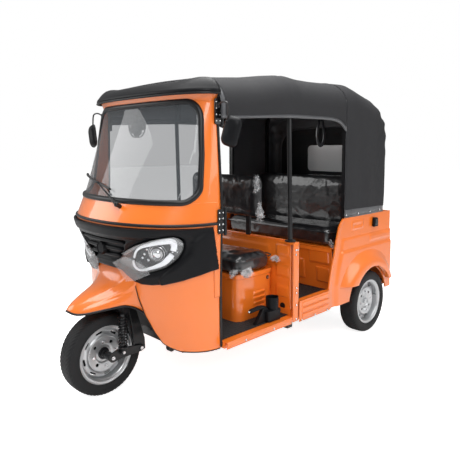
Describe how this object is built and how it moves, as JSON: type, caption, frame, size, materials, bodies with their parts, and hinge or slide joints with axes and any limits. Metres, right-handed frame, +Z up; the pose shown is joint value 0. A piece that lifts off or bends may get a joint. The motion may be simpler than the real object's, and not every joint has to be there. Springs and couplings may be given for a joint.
{
  "type": "auto rickshaw",
  "caption": "Three-wheeled passenger carrier with an enclosed nose, open cabin, bench seats, soft canopy and a steered front wheel.",
  "frame": {"origin": "centre of the whole vehicle's plan, on the ground", "axes": "front faces -Y, the vehicle's left is +X, +Z up"},
  "size_m": [1.5212, 2.665, 1.953],
  "materials": {
    "orange_paint": "gloss",
    "black_plastic": "satin",
    "rubber": "matt",
    "glass": "clear",
    "lamp_lens": "clear",
    "red_lens": "gloss",
    "black_steel": "satin",
    "grey_steel": "satin",
    "black_vinyl": "satin",
    "canopy_vinyl": "satin",
    "cast_metal": "cast",
    "tyre": "matt",
    "silver_paint": "silver"
  },
  "bodies": {
    "body": {"chassis_frame": "black_steel", "floor_pan": "grey_steel", "floor_mat": "rubber", "nose_shell": "orange_paint", "leg_shields": "orange_paint", "wheel_well": "black_plastic", "front_mask": "black_plastic", "front_grille": "black_plastic", "headlight_left": "lamp_lens", "headlight_right": "lamp_lens", "nose_trim": "rubber", "windscreen": "glass", "windscreen_seal": "rubber", "roof_visor": "black_plastic", "front_fender": "orange_paint", "dashboard": "black_plastic", "driver_box": "orange_paint", "driver_seat": "black_vinyl", "driver_backrest": "black_vinyl", "partition": "orange_paint", "cabin_poles": "black_steel", "rear_sides": "orange_paint", "wheel_flares": "orange_paint", "rocker_panels": "orange_paint", "tail_panel": "orange_paint", "tail_lamps": "red_lens", "bench_base": "orange_paint", "bench_cushion": "black_vinyl", "bench_backrest": "black_vinyl", "engine_block": "cast_metal", "rear_suspension": "black_steel", "canopy_frame": "black_steel", "canopy_roof": "canopy_vinyl", "canopy_rear": "canopy_vinyl", "rear_window": "glass", "mirrors": "black_plastic", "wiper": "rubber", "cabin_fan": "black_plastic", "parking_brake": "black_plastic", "side_fittings": "black_plastic"},
    "steering": {"front_fork": "black_steel", "handlebar": "black_steel", "front_links": "black_steel"},
    "front_wheel": {"front_tyre": "tyre", "front_rim": "silver_paint"},
    "rear_wheel_left": {"rear_tyre_left": "tyre", "rear_rim_left": "silver_paint"},
    "rear_wheel_right": {"rear_tyre_right": "tyre", "rear_rim_right": "silver_paint"},
    "hatch": {"rear_hatch": "orange_paint"}
  },
  "joints": [
    {"name": "steering", "type": "hinge", "parent": "body", "child": "steering", "pos_m": [0, -0.9875, 0.5], "axis": [0, 0.3746, 0.9272], "range_deg": [-35, 35]},
    {"name": "front_wheel_spin", "type": "hinge", "parent": "steering", "child": "front_wheel", "pos_m": [0, -1.0875, 0.245], "axis": [1, 0, 0], "continuous": true},
    {"name": "rear_wheel_left_spin", "type": "hinge", "parent": "body", "child": "rear_wheel_left", "pos_m": [0.5755, 0.9465, 0.245], "axis": [1, 0, 0], "continuous": true},
    {"name": "rear_wheel_right_spin", "type": "hinge", "parent": "body", "child": "rear_wheel_right", "pos_m": [-0.5755, 0.9465, 0.245], "axis": [1, 0, 0], "continuous": true},
    {"name": "rear_hatch_hinge", "type": "hinge", "parent": "body", "child": "hatch", "pos_m": [0, 1.3165, 0.836], "axis": [1, 0, 0], "range_deg": [0, 75]}
  ]
}
